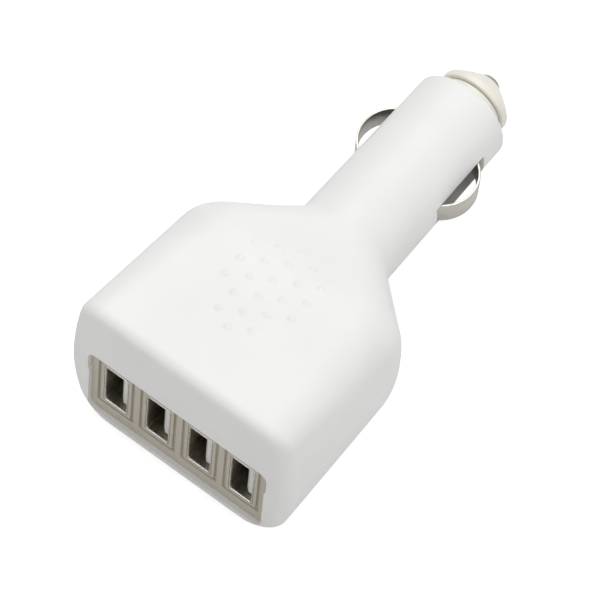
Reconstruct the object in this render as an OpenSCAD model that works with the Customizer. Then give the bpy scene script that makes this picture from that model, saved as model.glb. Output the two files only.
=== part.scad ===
// Four-port car charger plug: a wide moulded head with four upright USB sockets,
// and a round plug barrel for a 12 V vehicle socket.
// X runs across the head, +Y from the sockets to the tip, +Z up.
// The origin is under the middle of the plug, on the face that it lies on.

/* [Head] */
// Width of the head on each side of the window
cheek = 5.5; // [4.8:0.1:8]
// Loss of width from the front to the shoulder, both sides together
head_draft = 1.4; // [0:0.1:3]
// Lean of each side wall inwards, from the parting line up to the top face
lean_up = 2.5; // [0.5:0.1:4]
// Lean of each side wall inwards, from the parting line down to the underside
lean_down = 3.9; // [1:0.1:5]
// Height of the head above the barrel axis, at the front
head_up = 22; // [18:0.5:25]
// Fall of the top face from the front to the shoulder
head_fall = 4.2; // [0:0.1:6]
// Height of the head below the window
chin = 3.3; // [2.6:0.1:6]
// Length of the straight sides
head_l = 33.5; // [31:0.2:36]
// Radius of the shoulder in plan
shoulder_r = 10.4; // [7:0.2:12]
// Angle that the shoulder turns through before it runs straight to the barrel
shoulder_turn = 46; // [42:1:54]
// Radius of the hollow where the shoulder meets the barrel
neck_r = 3; // [1.5:0.5:5]
// Radius of the long top edges at the front
top_edge_front = 5; // [4:0.5:8]
// Radius of the long top edges at the shoulder
top_edge_back = 9.2; // [6:0.5:12]
// Radius of the long bottom edges
bottom_edge = 6.2; // [4:0.5:9]
// Rounding of the front face at its sides
front_round_side = 3.4; // [2:0.2:3.4]
// Rounding of the front face at its top
front_round_top = 2.8; // [1:0.2:3.6]
// Rounding of the front face at its bottom
front_round_bottom = 1.8; // [1:0.2:3]
// Length of that rounding along the plug
front_round_l = 3; // [2:0.25:4]
// Wall thickness of the housing
wall = 2; // [1.6:0.1:2.2]

/* [Grip dots] */
// Distance between two rows of dots, across the head
dot_pitch_x = 4; // [3.4:0.1:4.6]
// Distance between two dots of one row, along the head
dot_pitch_y = 4.8; // [4:0.1:5]
// Distance of the first dot from the front
dot_start_y = 14.6; // [10:0.2:15]
// Height of a dot
dot_h = 0.4; // [0.2:0.05:0.6]
// Diameter of a dot
dot_d = 2; // [1.4:0.1:2.6]

/* [Barrel] */
// Radius of the barrel at its end, where the vehicle socket holds it
barrel_r = 10.45; // [10.3:0.05:10.5]
// Extra radius of the barrel where it leaves the head
root_swell = 0.5; // [0:0.05:1]
// Length of the barrel from the head to its end rounding
barrel_l = 37.6; // [37:0.2:42]
// Length of the straight part at the barrel's end, where its taper stops
land_l = 3.4; // [2.6:0.1:3.4]
// Wall of the barrel
barrel_wall = 1.95; // [1.6:0.05:2.1]
// Length of the end rounding, along the barrel
end_round_l = 1; // [0.6:0.1:1.6]
// Depth of the end rounding, towards the axis
end_round_depth = 1; // [0.6:0.1:1.4]
// Radius of the hole that takes the nose cap, as a share of the barrel's radius
thread_share = 0.64; // [0.62:0.01:0.67]

/* [Nose] */
// Radius of the flange, as a share of the barrel's radius
flange_share = 0.756; // [0.74:0.004:0.8]
// Thickness of the flange
nose_flange_t = 1.9; // [1.5:0.1:2.4]
// Step from the nose cap's hole up to the groove's floor
groove_step = 0.3; // [0.1:0.05:0.6]
// Width of the groove between barrel and flange
nose_groove_w = 2.65; // [2:0.05:3]
// Length of the cone in front of the flange
nose_cone_l = 3.45; // [3:0.05:4]
// Radius of the tip contact
tip_r = 2.6; // [2.2:0.1:2.8]
// Length of the tip contact outside the nose
tip_out = 2; // [1.8:0.1:3]
// Extra radius of the tip contact's collar inside the nose
collar_step = 1.1; // [0.8:0.1:1.3]
// Thickness of that collar
collar_t = 1.2; // [0.8:0.1:1.6]

/* [Side clips] */
// Width of a clip strip
clip_w = 5.5; // [4:0.1:5.7]
// Thickness of a clip strip
clip_t = 0.5; // [0.3:0.05:0.6]
// Radius of the bow
clip_bow_r = 8.05; // [7.8:0.05:8.4]
// Reach of the bow beyond the barrel
clip_out = 3.05; // [2.6:0.05:3.3]
// Distance of the bow's crest from the barrel's end rounding
crest_back = 14.3; // [14:0.1:15]
// Distance from the strip's leg to the bore
leg_gap = 1.05; // [1:0.05:1.3]
// Bend between the leg and the bow
clip_bend_r = 1.5; // [1.2:0.1:2]
// Distance from the bow's crest back to the leg's seat
leg_back = 20.3; // [20:0.1:21.8]
// Angle of the bow from its crest to the free end
clip_end_turn = 65; // [63:1:67]

/* [Socket panel] */
// Web between the bands of two sockets
port_gap = 1.4; // [0.8:0.1:2]
// Depth of the sockets' middle below the barrel axis
port_below = 3.55; // [3.3:0.05:4]
// Panel beside the outer sockets' bands
panel_side = 1.55; // [1:0.05:3]
// Panel above the sockets' bands
panel_above = 1.65; // [1:0.05:3]
// Panel below the sockets' bands
panel_under = 3.05; // [2:0.05:4]
// Extra width of the window in the upper half of the housing
window_step = 0.7; // [0:0.1:1]
// Corner radius of the window
window_r = 2; // [1:0.1:3]
// Depth of the panel's face behind the front of the head
panel_set = 1; // [0.8:0.1:1.2]
// Thickness of the panel
panel_t = 2; // [1.8:0.1:2.4]
// Overlap of the panel behind the edge of the window
panel_lap = 0.9; // [0.5:0.1:1]
// Width of the raised frame round each socket
frame_w = 0.75; // [0.6:0.05:0.9]
// Width of the sunk band round that frame
sunk_w = 0.7; // [0.5:0.05:0.8]
// Depth of the sunk band
sunk_d = 0.6; // [0.4:0.1:1]

/* [USB sockets] */
// Width of the opening of a socket
usb_w = 5.12; // [5:0.02:5.2]
// Height of the opening of a socket
usb_h = 12.5; // [12.4:0.02:12.6]
// Sheet thickness of the metal shell
usb_sheet = 0.3; // [0.2:0.05:0.35]
// Length of the metal shell
usb_l = 14; // [13:0.5:15]
// Thickness of the tongue
tongue_t = 1.84; // [1.7:0.02:1.9]
// Distance from each end of the tongue to the shell
tongue_end = 0.7; // [0.5:0.05:1]
// Distance from the tongue's flat side to the shell
tongue_side = 0.72; // [0.65:0.01:0.8]
// Depth of the tongue's front edge inside the shell
tongue_set = 1.6; // [1:0.1:2.4]
// Width of a contact strip
contact_w = 1; // [0.8:0.1:1.2]
// Thickness of a contact strip
contact_t = 0.25; // [0.15:0.05:0.3]

/* [Circuit board] */
// Thickness of the board
board_t = 1.6; // [1.2:0.1:2]
// How far the board runs back past the head's straight sides
board_reach = 4.8; // [3.8:0.1:5.4]
// Gap between the board's back corners and the housing
board_gap = 0.4; // [0.3:0.05:2]
// Radius of the choke, as a share of the board's length behind the sockets
choke_share = 0.34; // [0.28:0.01:0.36]
// Height of the choke
choke_h = 8; // [6:0.5:10]
// Radius of a capacitor, as a share of that length
cap_share = 0.227; // [0.18:0.001:0.235]
// Height of a capacitor
cap_h = 11.5; // [8:0.5:14]

/* [Fuse and spring] */
// Radius of the fuse
fuse_r = 2.6; // [2.5:0.05:2.7]
// Length of the fuse
fuse_l = 20; // [19:0.5:21]
// Length of each of its end caps
fuse_cap_l = 5; // [4:0.5:6]
// Mean radius of the contact spring
spring_r = 2.15; // [1.9:0.05:2.2]
// Wire radius of the contact spring
spring_wire = 0.3; // [0.2:0.05:0.35]
// Turns of the contact spring
spring_turns = 8; // [6:1:9]

/* [Hidden] */

slack = 0.1;             // gap round a fixed piece in its seat
run_gap = 0.3;           // gap beside a piece that moves
slide_gap = 0.08;        // gap round the sliding tip
bite = 1;                // how far a cutter runs past a face
arc_steps = 8;           // steps in each rounded corner of the head
wall_steps = 3;          // steps in each side wall of the head
curve_fn = 64;
small_fn = 32;

// Window and head, worked out from the sockets and what lies round them
usb_out_w = usb_w + 2 * usb_sheet;
usb_out_h = usb_h + 2 * usb_sheet;
band = slack + frame_w + sunk_w;
port_pitch = usb_out_w + 2 * band + port_gap;
window_w = 3 * port_pitch + usb_out_w + 2 * (band + panel_side);
window_up = usb_out_h / 2 - port_below + band + panel_above;
window_down = usb_out_h / 2 + port_below + band + panel_under;
head_w = window_w + 2 * cheek;
head_down = window_down + chin;
panel_back = panel_set + panel_t;

// Radii along the barrel and the nose
barrel_root_r = barrel_r + root_swell;
bore_r = barrel_r - barrel_wall;
thread_r = thread_share * barrel_r;
nose_flange_r = flange_share * barrel_r;
nose_groove_r = thread_r + groove_step;
collar_r = tip_r + collar_step;

white = [0.94, 0.94, 0.93];
panel_grey = [0.66, 0.64, 0.60];
cream = [0.93, 0.91, 0.86];
steel = [0.72, 0.71, 0.68];
brass = [0.80, 0.66, 0.36];
copper = [0.72, 0.42, 0.24];
board_green = [0.10, 0.36, 0.22];
black = [0.10, 0.10, 0.11];

// The modules draw with Z = 0 on the barrel axis and Y = 0 on the front face.
module in_frame() {
    translate([0, -overall_l / 2, head_down]) children();
}

// A turned solid along the plug, from [radius, y] points.
module turned(profile, facets = curve_fn) {
    rotate([90, 0, 0]) rotate_extrude($fn = facets)
        polygon([for (p = profile) [p[0], -p[1]]]);
}

module rod(r, y0, y1, facets = curve_fn) {
    translate([0, y0, 0]) rotate([-90, 0, 0]) cylinder(r = r, h = y1 - y0, $fn = facets);
}

module post(r, x, y, z0, z1, facets = small_fn) {
    translate([x, y, z0]) cylinder(r = r, h = z1 - z0, $fn = facets);
}

module box(x0, x1, y0, y1, z0, z1) {
    translate([x0, y0, z0]) cube([x1 - x0, y1 - y0, z1 - z0]);
}

// A plate with rounded corners in the XZ plane, from y0 to y1.
module rounded_plate(w, z0, z1, r, y0, y1) {
    h = z1 - z0;
    translate([0, y1, (z0 + z1) / 2]) rotate([90, 0, 0]) linear_extrude(y1 - y0) {
        square([w - 2 * r, h], center = true);
        square([w, h - 2 * r], center = true);
        for (sx = [-1, 1], sz = [-1, 1])
            translate([sx * (w / 2 - r), sz * (h / 2 - r)]) circle(r = r, $fn = small_fn);
    }
}

// Form of the head

function mix(a, b, t) = a + (b - a) * t;
function clamp01(t) = min(1, max(0, t));
function ease(t) = let (c = clamp01(t)) c * c * (3 - 2 * c);

neck_sink = 0.15;        // how far the end of the head's skin lies under the barrel's surface
neck_ring_r = barrel_root_r - neck_sink;
side_w = (head_w - head_draft) / 2;
arc_x = side_w - shoulder_r;
slope_x = arc_x + shoulder_r * cos(shoulder_turn);
slope_y = head_l + shoulder_r * sin(shoulder_turn);
hollow_x = neck_ring_r + neck_r;
neck_y = slope_y + (neck_r - (hollow_x - slope_x) * cos(shoulder_turn)) / sin(shoulder_turn);
hollow_y = neck_y - neck_r * sin(shoulder_turn);

// Stations along the barrel and the nose, from the front of the head
barrel_end_y = neck_y + barrel_l;
land_y = barrel_end_y - land_l;
nose_start = barrel_end_y + end_round_l;
flange_y = nose_start + nose_groove_w;
cone_y = flange_y + nose_flange_t;
nose_end = cone_y + nose_cone_l;
overall_l = nose_end + tip_out;

// Half the width of the head, at a distance y from the front
function half_w(y) =
    y < head_l ? mix(head_w / 2, side_w, y / head_l) :
    y < slope_y ? arc_x + sqrt(pow(shoulder_r, 2) - pow(y - head_l, 2)) :
    y < hollow_y ? slope_x - (y - slope_y) * tan(shoulder_turn) :
    y < neck_y ? hollow_x - sqrt(pow(neck_r, 2) - pow(neck_y - y, 2)) :
    neck_ring_r;

// Height of the top face above the axis, and depth of the underside below it
top_curve_y = head_l - 1;
bottom_curve_y = head_l + 1;
function top_h(y) = mix(head_up - head_fall * y / head_l, neck_ring_r,
    ease((y - top_curve_y) / (neck_y - top_curve_y)));
function bottom_h(y) = mix(head_down, neck_ring_r,
    ease((y - bottom_curve_y) / (neck_y - bottom_curve_y)));

// Radius of the long edges
function neck_share(y) = ease((y - head_l) / (neck_y - head_l));
function top_r(y) =
    mix(mix(top_edge_front, top_edge_back, clamp01(y / head_l)), neck_ring_r, neck_share(y));
function bottom_r(y) = mix(bottom_edge, neck_ring_r, neck_share(y));

// Stations of the rings behind the front rounding
shoulder_steps = 6;
shoulder_ys = [for (i = [0:shoulder_steps]) head_l + shoulder_r * sin(shoulder_turn * i / shoulder_steps)];
hollow_ys = [for (i = [0:4]) neck_y - neck_r * sin(shoulder_turn * (1 - i / 4))];
side_ys = [for (i = [0:4]) mix(front_round_l, top_curve_y, i / 4)];
head_ys = concat(side_ys, shoulder_ys, [(slope_y + hollow_y) / 2], hollow_ys);

// Half a section, from +X over the face to -X, inset by dx and dh
function half_section(y, w, h, r, lean, steps) =
    let (q = min(r, w, h),
        side = [for (t = [0:wall_steps - 1]) [w, (h - q) * t / wall_steps]],
        corner = [for (i = [0:steps]) let (a = 90 * i / steps) [w - q + q * cos(a), h - q + q * sin(a)]],
        quarter = [for (p = concat(side, corner)) [p[0] * (1 - lean / w * pow(p[1] / h, 2)), p[1]]],
        last = len(quarter) - 1)
    concat([for (p = quarter) [p[0], y, p[1]]],
        [for (i = [last:-1:0]) [-quarter[i][0], y, quarter[i][1]]]);

function side_lean(y, up) = (up ? lean_up : lean_down) * (1 - ease((y - head_l) / (neck_y - head_l)));

function side_h(y, up) = up ? top_h(y) : bottom_h(y);
function side_r(y, up) = up ? top_r(y) : bottom_r(y);

function outer_ring(y, up) =
    half_section(y, half_w(y), side_h(y, up), side_r(y, up), side_lean(y, up), arc_steps);

// Rings of the rounding between the front face and the sides
function front_ring(a, up) =
    let (y = front_round_l * (1 - cos(a)), in = 1 - sin(a),
        dh = (up ? front_round_top : front_round_bottom) * in)
    half_section(y, half_w(y) - front_round_side * in, side_h(y, up) - dh,
        side_r(y, up) - dh, side_lean(y, up), arc_steps);

// The last ring lies inside the barrel, so that the skin ends under its surface
front_steps = 5;
tuck_r = neck_ring_r - 0.4;
function outer_rings(up) = concat(
    [for (i = [0:front_steps - 1]) front_ring(90 * i / front_steps, up)],
    [for (y = head_ys) outer_ring(y, up)],
    [half_section(neck_y + 2, tuck_r, tuck_r, neck_ring_r, 0, arc_steps)]);

// The hollow of the head, one wall inside the outside
function inner_ring(y, up) = half_section(y, half_w(y) - wall, side_h(y, up) - wall,
    side_r(y, up) - wall, side_lean(y, up), 4);
inner_ys = concat([panel_back, top_curve_y],
    [for (i = [0:2:shoulder_steps]) shoulder_ys[i]], [hollow_y]);
inner_end_r = bore_r - 0.3;
function inner_rings(up) = concat(
    [for (y = inner_ys) inner_ring(y, up)],
    [half_section(neck_y + 1, inner_end_r, inner_end_r, bore_r, 0, 4)]);

// A closed skin over rings of equal length
module skin(rings) {
    n = len(rings[0]);
    m = len(rings);
    polyhedron(
        points = [for (ring = rings) each ring],
        faces = concat(
            [[for (j = [n - 1:-1:0]) j]],
            [[for (j = [0:n - 1]) (m - 1) * n + j]],
            [for (i = [0:m - 2], j = [0:n - 1])
                let (k = (j + 1) % n) [i * n + j, i * n + k, (i + 1) * n + k, (i + 1) * n + j]]));
}

// Housing

module barrel_outside() {
    turned(concat([[0, hollow_y + 0.2], [barrel_root_r, hollow_y + 0.2], [barrel_root_r, neck_y],
            [barrel_r, land_y]],
        [for (a = [0:22.5:90])
            [barrel_r - end_round_depth * (1 - cos(a)), barrel_end_y + end_round_l * sin(a)]],
        [[0, nose_start]]));
}

thread_l = 3;
thread_y = barrel_end_y - thread_l;

module barrel_inside() {
    rod(bore_r, neck_y - bite / 2, thread_y);
    rod(thread_r, thread_y - bite, nose_start + bite);
}

// Side clips in plan: the bow's centre and middle line, and the leg that it bends into
clip_crest_y = barrel_end_y - crest_back;
clip_pivot_y = clip_crest_y - leg_back;
clip_leg_x = bore_r - leg_gap;
bow_x = barrel_r + clip_out - clip_bow_r;
bow_mid_r = clip_bow_r - clip_t / 2;
bend_turn = acos((clip_leg_x + clip_bend_r - bow_x) / (bow_mid_r + clip_bend_r));
leg_end = clip_crest_y - (bow_mid_r + clip_bend_r) * sin(bend_turn);
leg_start = clip_pivot_y - 0.9;
slot_start = leg_end + 0.8;
slot_end = clip_crest_y + bow_mid_r * sin(clip_end_turn) + 1;

module clip_slots() {
    half = clip_w / 2 + 0.2;
    box(-barrel_root_r - bite, barrel_root_r + bite, slot_start, slot_end, -half, half);
}

// The tube that guides the fuse, held to the bore by a web above and below
chamber_r = fuse_r + run_gap + 0.05;
chamber_out_r = chamber_r + 0.8;
chamber_y = clip_pivot_y + 1.9;
terminal_y = chamber_y + 1;
terminal_t = 0.8;
lead_r = 0.7;

module fuse_chamber() {
    rod(chamber_out_r, chamber_y, thread_y);
    box(-0.6, 0.6, chamber_y, thread_y, -bore_r - 0.5, bore_r + 0.5);
}

module fuse_chamber_bore() {
    rod(chamber_r, terminal_y, thread_y + bite);
    rod(lead_r + 0.9, chamber_y - bite, terminal_y + bite);
}

// The opening in the front wall, and the seat for the panel behind it
module panel_window(extra) {
    rounded_plate(window_w + extra, -window_down, window_up, window_r, -bite, panel_set + bite);
}

panel_w = window_w + window_step + 2 * panel_lap;
module panel_seat() {
    rounded_plate(panel_w + 2 * slack, -window_down - panel_lap - slack,
        window_up + panel_lap + slack, window_r, panel_set, panel_back + bite);
}

// Dots of the grip pattern: rows across X, each row with its own run of places
dot_rows = [[-2, 2, 4], [-1, 0, 4], [0, 0, 5], [1, 0, 4], [2, 2, 4]];

module grip_dots() {
    a = dot_d / 2;
    for (row = dot_rows, j = [row[1]:row[2]]) {
        y = dot_start_y + dot_pitch_y * (j + (row[0] % 2 == 0 ? 0 : 0.5));
        translate([dot_pitch_x * row[0], y, top_h(y)]) rotate_extrude($fn = 24)
            polygon([[0, -wall / 2], [a, -wall / 2], [a, -0.05], [a * 0.8, dot_h * 0.55],
                [a * 0.45, dot_h * 0.9], [0, dot_h]]);
    }
}

// Half the width of the hollow in the lower housing, at a depth below the axis
function inner_half(y, depth) =
    let (w = half_w(y) - wall, h = bottom_h(y) - wall, q = min(bottom_r(y) - wall, w, h),
        over = min(q, max(0, depth - h + q)))
    (w - q + sqrt(q * q - over * over)) * (1 - side_lean(y, false) / w * pow(depth / h, 2));

// Places of the circuit board and of the sockets on it
board_top = -port_below - usb_out_h / 2;
board_under = board_top - board_t;
board_y = panel_back + run_gap;
board_end = head_l + board_reach;
board_half = inner_half(board_end, -board_under) - board_gap;
usb_y = panel_set;
usb_end = usb_y + usb_l;
usb_top = -port_below + usb_out_h / 2;
function port_x(i) = (i - 2.5) * port_pitch;

// The board behind the sockets' contacts, which the components share out
tail_pitch = 1.5;
tail_l = 0.6;
tails_end = usb_end + 3 * tail_pitch + 2 * tail_l;
free_l = board_end - tails_end;
edge_gap = 0.165 * free_l;

// Posts of the lower housing, with pins through the board
post_r = 1.5;
post_x = board_half - post_r - board_gap;
post_ys = [usb_end + post_r + 1, board_end - edge_gap];
pin_r = 0.7;

module board_posts() {
    for (sx = [-1, 1], y = post_ys) {
        post(post_r, sx * post_x, y, -bottom_h(y) + wall - 0.2, board_under);
        post(pin_r, sx * post_x, y, board_under - bite, board_top + 0.8);
    }
}

// Ribs of the upper housing, which hold the sockets down
rib_ys = [panel_back + 1.4, usb_end - 3];
rib_t = 1.2;

module socket_ribs() {
    half = port_pitch * 1.5 + usb_w / 2 - 1;
    for (y = rib_ys) box(-half, half, y, y + rib_t, usb_top + slack, top_h(y) - wall + 0.4);
}

module half_housing(up) {
    difference() {
        union() {
            difference() {
                union() {
                    mirror([0, 0, up ? 0 : 1]) skin(outer_rings(up));
                    barrel_outside();
                }
                mirror([0, 0, up ? 0 : 1]) skin(inner_rings(up));
                barrel_inside();
            }
            fuse_chamber();
        }
        fuse_chamber_bore();
        clip_slots();
        panel_window(up ? window_step : 0);
        panel_seat();
        // the other half
        box(-head_w, head_w, -bite, overall_l, up ? -head_w : 0, up ? 0 : head_w);
    }
}

module housing_top() color(white) in_frame() {
    half_housing(true);
    grip_dots();
    socket_ribs();
}

module housing_bottom() color(white) in_frame() {
    half_housing(false);
    board_posts();
}

// Socket panel

module socket_plate(grow, y0, y1) {
    for (i = [1:4]) translate([port_x(i), 0, 0])
        rounded_plate(usb_out_w + 2 * grow, board_top - grow, usb_top + grow, 0.5, y0, y1);
}

module port_fascia() color(panel_grey) in_frame() difference() {
    union() {
        difference() {
            rounded_plate(panel_w, -window_down - panel_lap, window_up + panel_lap, window_r,
                panel_set, panel_back);
            socket_plate(band, panel_set - bite, panel_set + sunk_d);
        }
        socket_plate(slack + frame_w, panel_set, panel_back);
    }
    socket_plate(slack, panel_set - bite, panel_back + bite);
}

// USB sockets

finger_l = 6;
finger_w = 1.6;
finger_gap = 0.4;
tab_l = 1.2;
tab_ys = [usb_y + 4, usb_end - 4];
foot = 0.8;              // how far pins and tabs stand out under the board

// The cut round one spring finger, through both side walls of the shell
module finger_cut(z) {
    half = usb_out_w / 2 + bite;
    y1 = usb_y + 2.5 + finger_l;
    for (s = [-1, 1])
        box(-half, half, y1 - finger_l, y1, z + s * (finger_w / 2) - finger_gap / 2,
            z + s * (finger_w / 2) + finger_gap / 2);
    box(-half, half, y1 - finger_gap, y1, z - finger_w / 2, z + finger_w / 2);
}

module usb_shell(i) color(steel) in_frame() translate([port_x(i), 0, 0]) {
    w = usb_out_w / 2;
    difference() {
        rounded_plate(usb_out_w, board_top, usb_top, 0.5, usb_y, usb_end);
        rounded_plate(usb_w, -port_below - usb_h / 2, -port_below + usb_h / 2, 0.25,
            usb_y - bite, usb_end + bite);
        for (s = [-1, 1]) finger_cut(-port_below + s * usb_h / 4);
    }
    for (s = [-1, 1], y = tab_ys)
        translate([s * (w - usb_sheet / 2), 0, 0])
            box(-usb_sheet / 2, usb_sheet / 2, y, y + tab_l, board_under - foot,
                board_top + usb_sheet + 0.5);
}

block_l = 3.5;
tongue_x = usb_w / 2 - tongue_side - tongue_t;
tongue_h = usb_h - 2 * tongue_end;
contact_zs = [-3.5, -1, 1, 3.5];

module usb_tongue(i) color(white) in_frame() translate([port_x(i), 0, -port_below]) {
    difference() {
        union() {
            box(tongue_x, tongue_x + tongue_t, usb_y + tongue_set, usb_end - 1,
                -tongue_h / 2, tongue_h / 2);
            box(-usb_w / 2 + slack, usb_w / 2 - slack, usb_end - block_l, usb_end,
                -usb_h / 2 + slack, usb_h / 2 - slack);
        }
        for (z = contact_zs)
            box(tongue_x - contact_t - slack, tongue_x, usb_end - block_l - bite, usb_end + bite,
                z - contact_w / 2 - slack, z + contact_w / 2 + slack);
    }
}

contact_y = usb_y + tongue_set + 0.8;
contact_bump = 0.3;      // height of the contact's bow over its flat part

// Four contact strips: each runs back along the tongue and then down through the board
module usb_contacts(i) color(brass) in_frame() translate([port_x(i) + tongue_x, 0, -port_below])
    for (k = [0:3]) {
        z = contact_zs[k];
        tail_y = usb_end + tail_l + tail_pitch * k;
        translate([0, 0, z - contact_w / 2]) linear_extrude(contact_w)
            polygon([[0, contact_y], [-contact_t, contact_y + 0.5],
                [-contact_t - contact_bump, contact_y + 1.6], [-contact_t, contact_y + 4],
                [-contact_t, tail_y + tail_l], [0, tail_y + tail_l]]);
        box(-contact_t, 0, tail_y, tail_y + tail_l, board_under - foot + port_below, z + contact_w / 2);
    }

// Circuit board and what is on it

// The choke and the two cans stand side by side, with even gaps across the board
choke_r = choke_share * free_l;
cap_r = cap_share * free_l;
side_gap = (board_half - choke_r - 2 * cap_r) / 2;
choke_x = choke_r + side_gap - board_half;
output_can_x = choke_x + choke_r + side_gap + cap_r;
input_can_x = board_half - side_gap - cap_r;
choke_y = board_end - choke_r - edge_gap;
can_y = tails_end + edge_gap + cap_r;
behind_cans_y = can_y + cap_r + run_gap;

module circuit_board() color(board_green) in_frame() difference() {
    box(-board_half, board_half, board_y, board_end, board_under, board_top);
    for (sx = [-1, 1], y = post_ys)
        post(pin_r + slack, sx * post_x, y, board_under - bite, board_top + bite);
    for (i = [1:4]) {
        for (k = [0:3])
            post(0.55, port_x(i) + tongue_x - contact_t / 2,
                usb_end + tail_l + tail_pitch * k + tail_l / 2, board_under - bite,
                board_top + bite);
        for (s = [-1, 1], y = tab_ys) translate([port_x(i) + s * (usb_w + usb_sheet) / 2, 0, 0])
            box(-usb_sheet / 2 - slack, usb_sheet / 2 + slack, y - slack, y + tab_l + slack,
                board_under - bite, board_top + bite);
    }
}

// A small part behind the cans, with a flat body and feet on two sides
foot_t = 0.35;
module flat_part(x, w, l, h, feet, foot_w, reach) {
    translate([x, behind_cans_y + reach + l / 2, board_top]) {
        box(-w / 2, w / 2, -l / 2, l / 2, foot_t / 3, h);
        for (s = [0, 1], k = [0:feet - 1])
            mirror([0, s, 0]) translate([(k - (feet - 1) / 2) * w / feet, 0, 0])
                box(-foot_w / 2, foot_w / 2, l / 2 - foot_t, l / 2 + reach, 0, foot_t);
    }
}

chip_w = 5;
chip_h = 1.6;
chip_l = 0.22 * free_l;
chip_foot = 0.055 * free_l;
chip_foot_w = 0.42;
module converter_chip() color(black) in_frame()
    flat_part(input_can_x - 1, chip_w, chip_l, chip_h, 4, chip_foot_w, chip_foot);

diode_w = 3.4;
diode_h = 2.2;
diode_l = 0.24 * free_l;
diode_foot = 0.034 * free_l;
diode_foot_w = 2;
module rectifier_diode() color(black) in_frame()
    flat_part(0, diode_w, diode_l, diode_h, 1, diode_foot_w, diode_foot);

resistor_n = 6;
resistor_pitch = 2.4;
resistor_l = 1.6;
resistor_w = 0.8;
resistor_h = 0.5;
module chip_resistors() color(black) in_frame()
    for (k = [0:resistor_n - 1])
        translate([(k - resistor_n / 2 + 1) * resistor_pitch, tails_end + edge_gap / 2, board_top])
            box(-resistor_l / 2, resistor_l / 2, -resistor_w / 2, resistor_w / 2, 0, resistor_h);

rim_t = 1.2;
core_r = 0.43 * choke_r;
module inductor_core() color(black) in_frame() translate([choke_x, choke_y, board_top])
    rotate_extrude($fn = curve_fn)
        polygon([[0, 0], [choke_r, 0], [choke_r, rim_t], [core_r, rim_t],
            [core_r, choke_h - rim_t], [choke_r, choke_h - rim_t], [choke_r, choke_h], [0, choke_h]]);

wire_rows = 8;
winding_r = 0.85 * choke_r;
module inductor_winding() color(copper) in_frame() translate([choke_x, choke_y, board_top]) {
    h = choke_h - 2 * rim_t - 2 * slack;
    row = h / wire_rows;
    rotate_extrude($fn = curve_fn)
        polygon(concat([[core_r + slack, rim_t + slack]],
            [for (k = [0:wire_rows - 1], a = [-60:40:60])
                [winding_r + row / 2 * cos(a), rim_t + slack + row * (k + 0.5 + sin(a) / 2)]],
            [[core_r + slack, choke_h - rim_t - slack]]));
}

// A can capacitor, standing on the board
module can(x, y) {
    translate([x, y, board_top]) rotate_extrude($fn = 48)
        polygon([[0, 0], [cap_r - 0.3, 0], [cap_r, 0.3], [cap_r, 1.4], [cap_r - 0.35, 1.8],
            [cap_r, 2.2], [cap_r, cap_h - 0.5], [cap_r - 0.5, cap_h], [0, cap_h]]);
}

module input_capacitor() color(black) in_frame() can(input_can_x, can_y);
module output_capacitor() color(black) in_frame() can(output_can_x, can_y);

// Leads: a round tube swept along a smooth curve through a few points

function unit(v) = v / norm(v);
function curve_point(p, i, t) =
    let (n = len(p), a = p[max(i - 1, 0)], b = p[i], c = p[min(i + 1, n - 1)], d = p[min(i + 2, n - 1)])
    0.5 * (2 * b + (c - a) * t + (2 * a - 5 * b + 4 * c - d) * t * t + (3 * b - a - 3 * c + d) * t * t * t);
function curve(p, steps) = concat(
    [for (i = [0:len(p) - 2], s = [0:steps - 1]) curve_point(p, i, s / steps)], [p[len(p) - 1]]);

module tube(path, r, sides) {
    n = len(path);
    function heading(i) = i == 0 ? unit(path[1] - path[0]) :
        i == n - 1 ? unit(path[n - 1] - path[n - 2]) : unit(path[i + 1] - path[i - 1]);
    skin([for (i = [0:n - 1])
        let (t = heading(i), u = unit(cross(t, [1, 0, 0])), v = cross(t, u))
        [for (k = [0:sides - 1]) let (a = 360 * k / sides) path[i] + r * (cos(a) * u + sin(a) * v)]]);
}

bridge_t = 0.6;
bridge_y = clip_pivot_y - 1.8;
bridge_r = bore_r / 2;
bridge_hole_r = 0.3 * bore_r;
bridge_w = 3;
stub_y = chamber_y - run_gap;

// A lead from the board up to the barrel's axis plane: it rises, bends back and
// levels out, through points that are shares of the way to its end
lead_x = port_pitch / 2;
lead_y = board_end - 2;
lead_bend = 1.5;
lead_level = 2.2;        // straight end of a lead, along the plug
lead_shares = [[0.2, 0.3, 0.47], [0.48, 0.55, 0.67], [0.8, 0.82, 0.88]];

module lead(x0, x1, y1) {
    level_y = y1 - lead_level;
    tube(concat([[x0, lead_y, board_top]],
        curve(concat([[x0, lead_y, board_top + lead_bend],
                [x0, lead_y + lead_bend, board_top + 2.3 * lead_bend]],
            [for (s = lead_shares)
                [mix(x0, x1, s[0]), mix(lead_y, level_y, s[1]), board_top * (1 - s[2])]],
            [[x1, level_y, 0]]), 3),
        [[x1, y1, 0]]), lead_r, 8);
}

module positive_lead() color([0.75, 0.10, 0.10]) in_frame() lead(lead_x, 0, stub_y);
module negative_lead() color(black) in_frame() lead(-lead_x, -0.7 * bore_r, bridge_y);

// Contacts of the plug

module ground_bridge() color(brass) in_frame() difference() {
    union() {
        rod(bridge_r, bridge_y, bridge_y + bridge_t);
        box(-bore_r + run_gap, bore_r - run_gap, bridge_y, bridge_y + bridge_t, -bridge_w / 2, bridge_w / 2);
    }
    rod(bridge_hole_r, bridge_y - bite, bridge_y + bridge_t + bite);
}

module positive_terminal() color(brass) in_frame() {
    rod(chamber_r - slack, terminal_y, terminal_y + terminal_t);
    rod(lead_r + 0.7, stub_y, terminal_y + terminal_t / 2);
}

nose_lip = 2;            // nose in front of the tip contact's collar
collar_front = nose_end - nose_lip;
fuse_end = collar_front - collar_t;
fuse_y = fuse_end - fuse_l;
spring_y = terminal_y + terminal_t;

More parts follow.
